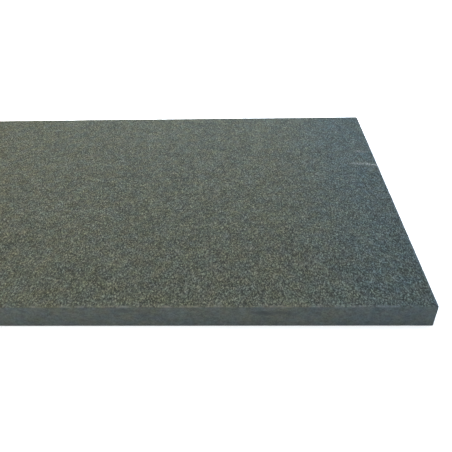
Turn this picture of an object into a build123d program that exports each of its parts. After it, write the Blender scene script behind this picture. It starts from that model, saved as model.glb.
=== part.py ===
from build123d import *
import os

# A closed-cell rubber foam sheet, split from a block and cut to size with a
# blade. Millimetres, +Z up. The origin is at the middle of the underside.

# Overall sizes between the sharp edges, which rounding then trims by under 0.1
length = 420.0
depth = 297.0
thickness = 20.0

# How far the blade strayed from square between the top and the foot of a side
front_undercut = 1.7
right_flare = 0.8

# Where two sides meet, the soft foam's corner is blunt
corner_radius = 1.6

# The top edge is handled and worn rounder than the edge that it lies on
top_edge_radius = 0.9
foot_edge_radius = 0.4


def side_view():
    """Section across the sheet, seen along X: the front leans back to its foot."""
    front = -depth / 2
    back = depth / 2
    return Plane.YZ * make_face(
        Polyline(
            (front, thickness),
            (front + front_undercut, 0),
            (back, 0),
            (back, thickness),
            close=True,
        )
    )


def front_view():
    """Section along the sheet, seen along Y: the right side spreads to its foot."""
    left = -length / 2
    right = length / 2
    return Plane.XZ * make_face(
        Polyline(
            (left, 0),
            (right, 0),
            (right - right_flare, thickness),
            (left, thickness),
            close=True,
        )
    )


def cut_block():
    """The sheet with its four sides as the blade left them, all arrises sharp."""
    across = extrude(side_view(), amount=length / 2, both=True)
    along = extrude(front_view(), amount=depth / 2, both=True)
    return across & along


def soften(block):
    """Blunt the four corners, then round the edges of the top and of the foot."""
    corners = block.edges().group_by(Axis.Z)[1]
    block = fillet(corners, radius=corner_radius)
    top_edges = block.faces().sort_by(Axis.Z)[-1].outer_wire().edges()
    block = fillet(top_edges, radius=top_edge_radius)
    foot_edges = block.faces().sort_by(Axis.Z)[0].outer_wire().edges()
    return fillet(foot_edges, radius=foot_edge_radius)


foam_sheet = soften(cut_block())

os.makedirs("parts", exist_ok=True)
export_step(foam_sheet, "parts/foam_sheet.step")
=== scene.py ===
from math import radians

import bpy
import numpy as np
from mathutils import Matrix, Vector


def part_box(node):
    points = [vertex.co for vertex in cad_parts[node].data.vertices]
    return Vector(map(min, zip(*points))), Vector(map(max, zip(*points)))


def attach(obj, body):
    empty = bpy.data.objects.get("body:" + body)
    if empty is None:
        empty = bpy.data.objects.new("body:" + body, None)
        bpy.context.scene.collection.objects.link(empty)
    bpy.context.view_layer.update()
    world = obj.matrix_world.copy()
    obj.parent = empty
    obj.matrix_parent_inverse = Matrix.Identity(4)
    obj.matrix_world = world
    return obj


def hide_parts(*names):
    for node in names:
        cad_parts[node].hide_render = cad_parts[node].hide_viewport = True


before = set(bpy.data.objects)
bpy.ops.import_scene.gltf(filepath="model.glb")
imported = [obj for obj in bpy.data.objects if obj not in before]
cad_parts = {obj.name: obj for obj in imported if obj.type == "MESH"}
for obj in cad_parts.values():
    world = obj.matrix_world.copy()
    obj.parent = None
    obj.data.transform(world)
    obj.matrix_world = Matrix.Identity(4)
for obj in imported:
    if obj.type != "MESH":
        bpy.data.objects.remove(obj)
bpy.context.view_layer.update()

# Foam sheet
# One flat piece of closed-cell rubber foam, split from a moulded block and cut to size with a
# knife. The knife strayed a little from square on the front and right sides, and handling has
# rounded the upper edges more than those that it lies on.
low, high = (np.array(corner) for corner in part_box("foam_sheet"))
half_length, half_depth, half_thickness = (high - low) / 2
thickness = 2 * half_thickness

front_undercut = 0.0017
right_flare = 0.0008
corner_radius = 0.0016
top_edge_reach, top_edge_drop = 0.0011, 0.0009
foot_edge_reach, foot_edge_drop = 0.0005, 0.0004

# Gaps between the skin's lines in the open and at an edge, and how far in the one becomes the other
face_gap, face_edge_gap, face_edge_band = 0.0021, 0.00022, 0.0080
side_gap, side_edge_gap, side_edge_band = 0.0020, 0.00016, 0.0050
gap_samples = 8001

# Size across, depth and seed of each of the slow dents that splitting and storage leave
dents = ((0.070, 0.00013, 11), (0.018, 0.00006, 12), (0.0045, 0.00004, 13))
# The sheet's own weight presses the underside and the foot of the sides flatter
pressed_share, pressed_height = 0.3, 0.0040

# The worn top edge is nicked where open cells have torn out
nick_size, nick_depth, nick_reach, nick_seed = 0.0035, 0.00022, 0.0016, 14


def grid_lines(half, gap, end_gap, end_band):
    """Places from -half to half. The gap between neighbours grows smoothly from end_gap at both
    ends to gap once end_band away from them: a line sits wherever the running total of one over
    the gap reaches the next whole number."""
    place = np.linspace(-half, half, gap_samples)
    from_end = np.clip((half - abs(place)) / end_band, 0, 1)
    wanted = end_gap + (gap - end_gap) * from_end**2 * (3 - 2 * from_end)
    steps = np.diff(place) * 0.5 * (1 / wanted[1:] + 1 / wanted[:-1])
    total = np.concatenate(([0.0], np.cumsum(steps)))
    return np.interp(np.linspace(0, total[-1], round(total[-1]) + 1), total, place)


def quads(index, turned=False):
    """Four-cornered faces between neighbours of a grid of point numbers, turned over if asked."""
    corners = (index[:-1, :-1], index[1:, :-1], index[1:, 1:], index[:-1, 1:])
    return np.stack(corners[::-1] if turned else corners, axis=-1).reshape(-1, 4)


def block_skin(across, along, downs):
    """The closed skin of a sharp block, as points (x, y, depth below the top) and faces. The two
    split faces are across by along grids. The sides are the border of that grid carried down
    through downs, sharing its points, so that no seam is open."""
    x, y = (part.ravel() for part in np.meshgrid(across, along, indexing="ij"))
    top = np.arange(x.size).reshape(len(across), len(along))
    border = np.concatenate((top[:-1, 0], top[-1, :-1], top[:0:-1, -1], top[0, :0:-1]))
    inner = downs[1:-1]
    rows = 2 * x.size + np.arange(len(inner) * border.size).reshape(len(inner), -1)
    side = np.vstack((border, rows, border + x.size))
    points_x = np.concatenate((x, x, np.tile(x[border], len(inner))))
    points_y = np.concatenate((y, y, np.tile(y[border], len(inner))))
    points_down = np.concatenate((downs[[0, -1]].repeat(x.size), inner.repeat(border.size)))
    side = np.hstack((side, side[:, :1]))
    faces = np.vstack((quads(top), quads(top + x.size, True), quads(side)))
    return np.stack((points_x, points_y, points_down)), faces


def cut_and_worn(x, y, down):
    """Moves each point of the sharp block to where the knife and wear left it, and gives its
    outward direction too. Corners: inside the square at each corner, a point slides along its
    ray until the square ring that it is on is an arc. Edges: the same in section, where the ring
    is a quarter ellipse. Sides: each leans in proportion to the depth below the top."""
    in_x = np.clip(abs(x) - half_length + corner_radius, 0, None)
    in_y = np.clip(abs(y) - half_depth + corner_radius, 0, None)
    reach = np.hypot(in_x, in_y)
    out_x = np.sign(x) * in_x / np.where(reach > 0, reach, 1)
    out_y = np.sign(y) * in_y / np.where(reach > 0, reach, 1)
    from_side = np.minimum(half_length - abs(x), half_depth - abs(y))

    upper = down < half_thickness
    from_face = np.where(upper, down, thickness - down)
    edge_reach = np.where(upper, top_edge_reach, foot_edge_reach)
    edge_drop = np.where(upper, top_edge_drop, foot_edge_drop)
    sideways = 1 - np.clip(from_side / edge_reach, 0, 1)
    upwards = 1 - np.clip(from_face / edge_drop, 0, 1)
    section = np.hypot(sideways, upwards)
    inset = edge_reach * (sideways - sideways / section)
    drop = edge_drop * (upwards - upwards / section)

    slide = np.maximum(in_x, in_y) - inset - reach
    rise = 1 - (down + np.where(upper, drop, -drop)) / thickness
    lean_right = right_flare * rise * (half_length + x) / (2 * half_length)
    lean_back = front_undercut * (1 - rise) * (half_depth - y) / (2 * half_depth)
    place = np.stack((x + out_x * slide - lean_right, y + out_y * slide + lean_back, rise * thickness))

    outward = np.stack((out_x * sideways, out_y * sideways, np.where(upper, upwards, -upwards)))
    return place, outward / np.linalg.norm(outward, axis=0), from_side, from_face


def swell(places, size, seed):
    """Smooth heights from 0 to 1: random ones at the corners of cubes of that size, blended
    through each cube by the s-curve of the place in it along each axis."""
    place = places / size
    place = place - place.min(axis=1, keepdims=True)
    cube = np.floor(place).astype(int)
    share = (place - cube) ** 2 * (3 - 2 * (place - cube))
    heights = np.random.default_rng(seed).random(cube.max(axis=1) + 2)
    total = np.zeros(places.shape[1])
    for corner in np.ndindex(2, 2, 2):
        step = np.array(corner)[:, None]
        weight = np.where(step == 1, share, 1 - share).prod(axis=0)
        total += weight * heights[tuple(cube + step)]
    return total


block, faces = block_skin(
    grid_lines(half_length, face_gap, face_edge_gap, face_edge_band),
    grid_lines(half_depth, face_gap, face_edge_gap, face_edge_band),
    half_thickness + grid_lines(half_thickness, side_gap, side_edge_gap, side_edge_band),
)
places, outward, from_side, from_face = cut_and_worn(*block)
sunk = sum(deep * swell(block, size, seed) for size, deep, seed in dents)
above_foot = np.clip((thickness - block[2]) / pressed_height, 0, 1)
sunk = sunk * (pressed_share + (1 - pressed_share) * above_foot)
near_top_edge = np.exp(-((from_side**2 + block[2] ** 2) / nick_reach**2))
sunk = sunk + nick_depth * near_top_edge * swell(block, nick_size, nick_seed)
middle = np.array([(low[0] + high[0]) / 2, (low[1] + high[1]) / 2, low[2]])
places = places - outward * sunk + middle[:, None]

mesh = bpy.data.meshes.new("foam_sheet_skin")
mesh.from_pydata(places.T, [], faces.tolist())
mesh.polygons.foreach_set("use_smooth", np.ones(len(faces), bool))
# Millimetres to the nearest edge: positive on the two split faces, negative on the cut sides
edge_distance = 1000 * (from_side - from_face)
edge_attribute = mesh.attributes.new("from_edge", "FLOAT", "POINT")
edge_attribute.data.foreach_set("value", edge_distance.astype(np.float32))
mesh.update()
foam_sheet = bpy.data.objects.new("foam_sheet_skin", mesh)
bpy.context.scene.collection.objects.link(foam_sheet)

# The split faces are all cut-open cells about a millimetre across, the foam's grain. Their pits are painted
# dark as shade, and their walls are paler, with painted glints. The cells are a little narrower along the
# sheet than across it. Scales over 1 narrow a pattern.
cell_size, cell_scale, cell_depth = 0.00105, (1.4, 0.8, 1.0), 0.0003
pit_grain_and_shade_colour, wall_grain_and_glint_colour = (0.008, 0.0095, 0.008, 1), (0.095, 0.108, 0.093, 1)
# How far from its middle, in cell sizes, a cell's floor starts to rise and reaches its wall
floor_to_wall = (0.15, 0.80)
# Values of its noise between which the painted glints on the walls set in, and its waves to each cell
speck_glint_range, speck_glint_waves = (0.38, 0.68), 0.7

# The knife drags the cells of the sides nearly shut, to pores of half their size and depth, and
# what it drags is longer than it is high
pore_size, drag_scale, pore_depth_share = 0.0005, (0.8, 0.8, 1.0), 0.5
# The pores' tone paints shade inside them and glints on their walls
side_tone_base, pore_strength = 0.33, 0.55
side_dark, side_pale = (0.0258, 0.0315, 0.0315, 1), (0.0543, 0.0639, 0.0639, 1)

# Size and strength of each soft change of tone, and the values of its noise that become -1 and 1
face_changes = ((0.0035, 0.05), (0.0120, 0.04))
side_changes = ((0.0009, 0.28), (0.0025, 0.22), (0.0080, 0.13))
change_range = (0.28, 0.72)

# Millimetres from the edge, as in from_edge: where the sides' finish takes over from the faces', and where
# the pale band, partly rubbing and partly painted highlight, sets in on a face and ends on a side
face_to_side = (0.3, -0.5)
rubbing_and_highlight_on_face, rubbing_and_highlight_on_side = (2.8, 0.4), (-0.8, 0.0)
# The pale band of rubbing and painted highlight has gaps of this size, where a soft change is low, and is
# strongest between them
rubbing_and_highlight_gap_size, rubbing_and_highlight_gap_range = 0.0050, (-0.5, 0.7)
least_rubbing_and_highlight, more_rubbing_and_highlight = 0.10, 0.45
rubbed_and_highlight_colour = (0.085, 0.091, 0.091, 1)

# The rubber is tinted olive by a painted warm light through most of the sheet, and it turns bluer under a
# painted cool light towards its right end, between these distances from the middle. It is also mottled with
# both tints all over at random, and smaller blotches lean to green or to purple.
olive_and_warm_light_tint, blue_and_cool_light_tint = (1.07, 1.03, 0.91, 1), (0.85, 0.99, 1.13, 1)
painted_cool_light_span, painted_cool_light_on_sides = (0.100, 0.200), 0.5
mottle_size, mottle_strength = 0.0080, 0.36
green_tint, purple_tint = (0.975, 1.025, 0.975, 1), (1.025, 0.975, 1.025, 1)
blotch_size = 0.0055

# The top is scraped near its right end, and the front side has a few dark smudges. Each has its
# middle, half size, turn in degrees, raggedness and strength.
scraped_colour, grime_colour = (0.155, 0.160, 0.158, 1), (0.020, 0.025, 0.026, 1)
scuffs = (
    ((0.1903, 0.0430, 0.0200), (0.0110, 0.0028, 0.0060), 3, 2.4, 0.32),
    ((0.2005, 0.0418, 0.0200), (0.0050, 0.0028, 0.0060), -17, 2.0, 0.38),
    ((0.2066, 0.0402, 0.0200), (0.0044, 0.0026, 0.0060), -12, 1.4, 0.62),
    ((0.1970, 0.0673, 0.0200), (0.0075, 0.0030, 0.0060), -5, 2.2, 0.33),
)
smudges = (
    ((0.0990, -0.1480, 0.0140), (0.0200, 0.0060, 0.0030), 0, 0.6, 0.48),
    ((0.0925, -0.1480, 0.0135), (0.0070, 0.0060, 0.0032), 0, 0.5, 0.55),
    ((-0.0020, -0.1480, 0.0165), (0.0100, 0.0060, 0.0025), 0, 0.6, 0.45),
)
# A mark's noise bends and frays it at so many waves a metre, and it is full from this value up
bends_per_metre, frays_per_metre, full_mark = 250.0, 900.0, 0.6
# A scrape's share in the pits and on the walls, and the tone from which a spot counts as wall
scraped_pits, scraped_walls, scraped_wall_tone = 0.25, 1.30, 0.55


def add_node(tree, kind, inputs=None, **settings):
    """Adds a shader node of that kind, with those settings, and a value or a link on each input."""
    node = tree.nodes.new("ShaderNode" + kind)
    for name, value in settings.items():
        setattr(node, name, value)
    for name, value in (inputs or {}).items():
        if isinstance(value, bpy.types.NodeSocket):
            tree.links.new(value, node.inputs[name])
        else:
            node.inputs[name].default_value = value
    return node


def combine(tree, operation, *values):
    """The result of a Math node on those values or sockets."""
    return add_node(tree, "Math", dict(enumerate(values)), operation=operation).outputs[0]


def ramp(tree, value, start, end, first=0.0, last=1.0, curve="LINEAR"):
    """The value brought from between start and end to between first and last, and held there."""
    inputs = {"Value": value, "From Min": start, "From Max": end, "To Min": first, "To Max": last}
    return add_node(tree, "MapRange", inputs, interpolation_type=curve).outputs[0]


def vector_maths(tree, operation, inputs):
    """The result of a Vector Math node on those inputs."""
    return add_node(tree, "VectorMath", inputs, operation=operation).outputs[0]


def cover(tree, share, below, above):
    """The colour below, covered by the colour above as far as the share says. A Mix node's
    sockets for colours are its seventh and eighth, and the ones before are for numbers."""
    return add_node(tree, "Mix", {0: share, 6: below, 7: above}, data_type="RGBA").outputs[2]


def new_group(name, inputs, outputs):
    """An empty node group with those inputs, numbers or vectors, and those number outputs."""
    group = bpy.data.node_groups.new(name, "ShaderNodeTree")
    for socket, value in inputs.items():
        kind = "NodeSocketFloat" if isinstance(value, float) else "NodeSocketVector"
        made = group.interface.new_socket(socket, in_out="INPUT", socket_type=kind)
        made.default_value = value
    for socket in outputs:
        group.interface.new_socket(socket, in_out="OUTPUT", socket_type="NodeSocketFloat")
    return group, group.nodes.new("NodeGroupInput").outputs, group.nodes.new("NodeGroupOutput").inputs


def open_cells():
    """Cells cut open by a blade. Height is low in the middle of each cell and high on its walls, and Tone is
    the same with the walls unevenly pale, from 0 to 1. As a colour, Tone paints shade into the pits and
    glints onto the walls."""
    group, given, result = new_group(
        "open_cells", {"Vector": (0, 0, 0), "Size": 0.001}, ("Tone", "Height")
    )
    scale = combine(group, "DIVIDE", 1.0, given["Size"])
    where = {"Vector": given["Vector"], "Scale": scale}
    cells = add_node(group, "TexVoronoi", where, feature="F1")
    walls = ramp(group, cells.outputs["Distance"], *floor_to_wall)
    speck_glint_scale = combine(group, "MULTIPLY", scale, speck_glint_waves)
    where = {"Vector": given["Vector"], "Scale": speck_glint_scale, "Detail": 3.0, "Roughness": 0.7}
    speck_glint_noise = add_node(group, "TexNoise", where)
    speck_glints = ramp(group, speck_glint_noise.outputs["Fac"], *speck_glint_range)
    group.links.new(combine(group, "MULTIPLY", walls, speck_glints), result["Tone"])
    group.links.new(walls, result["Height"])
    return group


def slow_change():
    """A soft random value that swings about 0, mostly between -1 and 1, over Size."""
    group, given, result = new_group("slow_change", {"Vector": (0, 0, 0), "Size": 0.01}, ("Value",))
    scale = combine(group, "DIVIDE", 1.0, given["Size"])
    noise = add_node(group, "TexNoise", {"Vector": given["Vector"], "Scale": scale, "Detail": 1.0})
    swing = ramp(group, noise.outputs["Fac"], *change_range, first=-1.0)
    group.links.new(swing, result["Value"])
    return group


def handled_mark():
    """A scuff or smudge: 1 at Centre and 0 from Reach outwards, along axes turned by Turn. Noise
    bends it by Wander in metres, and breaks its edge up by as much as Raggedness says."""
    group, given, result = new_group(
        "handled_mark",
        {
            "Vector": (0, 0, 0),
            "Centre": (0, 0, 0),
            "Turn": (0, 0, 0),
            "Reach": (1, 1, 1),
            "Wander": 0.004,
            "Raggedness": 0.5,
        },
        ("Mask",),
    )
    bends = {"Vector": given["Vector"], "Scale": bends_per_metre, "Detail": 1.0}
    noise = add_node(group, "TexNoise", bends).outputs["Color"]
    bend = vector_maths(group, "SUBTRACT", {0: noise, 1: (0.5, 0.5, 0.5)})
    bend = vector_maths(group, "SCALE", {0: bend, "Scale": given["Wander"]})
    bent = vector_maths(group, "ADD", {0: given["Vector"], 1: bend})
    where = {"Vector": bent, "Location": given["Centre"], "Rotation": given["Turn"], "Scale": given["Reach"]}
    turned = add_node(group, "Mapping", where, vector_type="TEXTURE").outputs[0]
    ball = add_node(group, "TexGradient", {"Vector": turned}, gradient_type="SPHERICAL").outputs["Fac"]
    frays = {"Vector": given["Vector"], "Scale": frays_per_metre, "Detail": 2.0}
    noise = add_node(group, "TexNoise", frays).outputs["Fac"]
    swing = combine(group, "SUBTRACT", noise, 0.5)
    ragged = combine(group, "MULTIPLY_ADD", swing, given["Raggedness"], ball)
    mask = ramp(group, ragged, 0.0, full_mark, curve="SMOOTHSTEP")
    inside = combine(group, "GREATER_THAN", ball, 0.0)
    group.links.new(combine(group, "MULTIPLY", mask, inside), result["Mask"])
    return group


foam = bpy.data.materials.new("closed_cell_foam_rubber")
foam.use_nodes = True
tree = foam.node_tree
shader = tree.nodes["Principled BSDF"]
spot = add_node(tree, "TexCoord").outputs["Object"]
cell_group, change_group, mark_group = open_cells(), slow_change(), handled_mark()


def placed(group, **inputs):
    """Places a node group in the foam's material, with those inputs, and gives its outputs."""
    return add_node(tree, "Group", inputs, node_tree=group).outputs


def changed(tone, where, changes):
    """The tone with soft changes added to it, each of its own size and strength."""
    for size, strength in changes:
        change = placed(change_group, Vector=where, Size=size)[0]
        tone = combine(tree, "MULTIPLY_ADD", change, strength, tone)
    return tone


def tinted(colour, share, one_tint, other_tint):
    """The colour, multiplied by a tint that goes from one to the other with the share."""
    tints = {0: share, 6: one_tint, 7: other_tint}
    tint = add_node(tree, "Mix", tints, data_type="RGBA", clamp_factor=False).outputs[2]
    inputs = {0: 1.0, 6: colour, 7: tint}
    return add_node(tree, "Mix", inputs, data_type="RGBA", blend_type="MULTIPLY").outputs[2]


def marked(colour, paint, marks, share):
    """The colour, covered by the paint where the marks are, as far as each one's strength and
    the share say."""
    for centre, reach, turn, raggedness, strength in marks:
        where = {"Vector": spot, "Centre": centre, "Reach": reach, "Turn": (0, 0, radians(turn))}
        mark = placed(mark_group, **where, Raggedness=raggedness)["Mask"]
        strength = combine(tree, "MULTIPLY", share, strength)
        colour = cover(tree, combine(tree, "MULTIPLY", mark, strength), colour, paint)
    return colour


from_edge = add_node(tree, "Attribute", attribute_name="from_edge").outputs["Fac"]
on_side = ramp(tree, from_edge, *face_to_side, curve="SMOOTHSTEP")

across_sheet = add_node(tree, "Mapping", {"Vector": spot, "Scale": cell_scale}).outputs[0]
cells = placed(cell_group, Vector=across_sheet, Size=cell_size)
face_tone = changed(cells["Tone"], spot, face_changes)
# Painted shade in the pits and painted glints on the walls, over the cells' grain
face_colour = cover(tree, face_tone, pit_grain_and_shade_colour, wall_grain_and_glint_colour)

along_side = add_node(tree, "Mapping", {"Vector": spot, "Scale": drag_scale}).outputs[0]
pores = placed(cell_group, Vector=along_side, Size=pore_size)
# Painted shade in the pores and painted glints on their walls, over the sides' grain
side_tone = combine(tree, "MULTIPLY_ADD", pores["Tone"], pore_strength, side_tone_base)
side_tone = changed(side_tone, along_side, side_changes)
side_colour = cover(tree, side_tone, side_dark, side_pale)
colour = cover(tree, on_side, face_colour, side_colour)

# The edges are paled unevenly, for two millimetres of a face and nearly one of a side: partly rubbed, partly
# a painted highlight
beside_edge = ramp(tree, from_edge, *rubbing_and_highlight_on_face, curve="SMOOTHSTEP")
above_side = ramp(tree, from_edge, *rubbing_and_highlight_on_side)
gaps = placed(change_group, Vector=along_side, Size=rubbing_and_highlight_gap_size)[0]
unevenly = ramp(tree, gaps, *rubbing_and_highlight_gap_range)
rubbing_and_highlight = combine(tree, "MULTIPLY_ADD", unevenly, more_rubbing_and_highlight, least_rubbing_and_highlight)
rubbing_and_highlight = combine(tree, "MULTIPLY", rubbing_and_highlight, combine(tree, "MULTIPLY", beside_edge, above_side))
colour = cover(tree, rubbing_and_highlight, colour, rubbed_and_highlight_colour)

# On the sides the painted change from warm olive light to cool blue light is weaker, about the same middle
from_middle = add_node(tree, "SeparateXYZ", {"Vector": spot}).outputs["X"]
painted_cool_light = ramp(tree, from_middle, *painted_cool_light_span, curve="SMOOTHSTEP")
evened = combine(tree, "MULTIPLY_ADD", painted_cool_light, painted_cool_light_on_sides - 1, (1 - painted_cool_light_on_sides) / 2)
painted_cool_light = combine(tree, "MULTIPLY_ADD", evened, on_side, painted_cool_light)
mottle = placed(change_group, Vector=spot, Size=mottle_size)[0]
cool_light_and_mottle_share = combine(tree, "MULTIPLY_ADD", mottle, mottle_strength, painted_cool_light)
# The painted warm and cool light goes into the colour here, together with the random mottle
colour = tinted(colour, cool_light_and_mottle_share, olive_and_warm_light_tint, blue_and_cool_light_tint)
blotches = placed(change_group, Vector=spot, Size=blotch_size)[0]
green_share = combine(tree, "MULTIPLY_ADD", blotches, 0.5, 0.5)
colour = tinted(colour, green_share, purple_tint, green_tint)

# A scuff pales the cells' walls and leaves most of the pits dark
on_walls = ramp(tree, cells["Tone"], 0.0, scraped_wall_tone, scraped_pits, scraped_walls)
colour = marked(colour, scraped_colour, scuffs, on_walls)
colour = marked(colour, grime_colour, smudges, on_side)
tree.links.new(colour, shader.inputs["Base Color"])

pore_height = combine(tree, "MULTIPLY", pores["Height"], pore_depth_share)
lower = combine(tree, "SUBTRACT", pore_height, cells["Height"])
height = combine(tree, "MULTIPLY_ADD", lower, on_side, cells["Height"])
relief = add_node(tree, "Bump", {"Height": height, "Strength": 0.5, "Distance": cell_depth})
tree.links.new(relief.outputs["Normal"], shader.inputs["Normal"])
shader.inputs["Roughness"].default_value = 0.92
shader.inputs["Specular IOR Level"].default_value = 0.15
mesh.materials.append(foam)

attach(foam_sheet, "root")
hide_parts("foam_sheet")

# Bench top
# A plain white board that the sheet lies on. It is much larger than the sheet and throws a lot
# of light back up at the cut sides.
board_half = 6.0
board_mesh = bpy.data.meshes.new("bench_top")
board_corners = board_half * np.array(((-1, -1), (1, -1), (1, 1), (-1, 1)))
board_mesh.from_pydata(np.column_stack((board_corners, np.full(4, low[2]))), [], [(0, 1, 2, 3)])
bench_top = bpy.data.objects.new("bench_top", board_mesh)
bpy.context.scene.collection.objects.link(bench_top)
board_white = bpy.data.materials.new("white_board")
board_white.use_nodes = True
board_shader = board_white.node_tree.nodes["Principled BSDF"]
board_shader.inputs["Base Color"].default_value = (0.90, 0.89, 0.89, 1)
board_shader.inputs["Roughness"].default_value = 0.8
board_mesh.materials.append(board_white)

# Light
# A bright even room, a large soft box in front on the left, and three small ones close to the
# sheet: a warm one at its left end, a cool one behind it and a weak one over its right corner.
room_strength = 1.15

# Place, aim, size, watts and colour of each soft box
soft_boxes = {
    "front_box": ((-0.9, -0.9, 0.8), (0.0, 0.0, 0.0), 1.2, 18.0, (1.00, 1.00, 1.00)),
    "left_box": ((-0.5, 0.1, 0.45), (-0.1, 0.0, 0.0), 0.5, 5.0, (1.00, 0.82, 0.46)),
    "back_box": ((0.1, 0.55, 0.45), (0.0, 0.1, 0.0), 0.5, 11.6, (0.67, 0.82, 1.00)),
    "corner_box": ((0.25, -0.16, 0.42), (0.20, -0.13, 0.0), 0.3, 0.5, (0.48, 0.78, 1.00)),
}
for name, (place, aim, size, watts, light_colour) in soft_boxes.items():
    box = bpy.data.lights.new(name, "AREA")
    box.size = size
    box.energy = watts
    box.color = light_colour
    box_object = bpy.data.objects.new(name, box)
    box_object.location = place
    box_object.rotation_euler = (Vector(aim) - Vector(place)).to_track_quat("-Z", "Y").to_euler()
    box_object.visible_camera = False
    bpy.context.scene.collection.objects.link(box_object)

room = bpy.data.worlds.new("room")
room.use_nodes = True
room_light = room.node_tree.nodes["Background"]
room_light.inputs["Color"].default_value = (1.0, 1.0, 1.0, 1)
room_light.inputs["Strength"].default_value = room_strength
bpy.context.scene.world = room
bpy.context.scene.view_settings.view_transform = "Standard"

# Camera
# Held in front of the right half of the sheet and a little above it, looking down across it. Its
# lens, place and angles were fitted to the sheet's edges in the photograph.
picture_width = 452
lens_in_pixels = 520.0
camera_place = (0.0765, -0.3961, 0.2710)
look_down, look_right, tilt = radians(36.47), radians(-1.83), radians(1.41)
camera = bpy.data.cameras.new("camera")
camera.lens = camera.sensor_width * lens_in_pixels / picture_width
camera.clip_end = 100
camera_object = bpy.data.objects.new("camera", camera)
camera_object.matrix_world = (
    Matrix.Translation(camera_place)
    @ Matrix.Rotation(-look_right, 4, "Z")
    @ Matrix.Rotation(radians(90) - look_down, 4, "X")
    @ Matrix.Rotation(-tilt, 4, "Z")
)
bpy.context.scene.collection.objects.link(camera_object)
bpy.context.scene.camera = camera_object
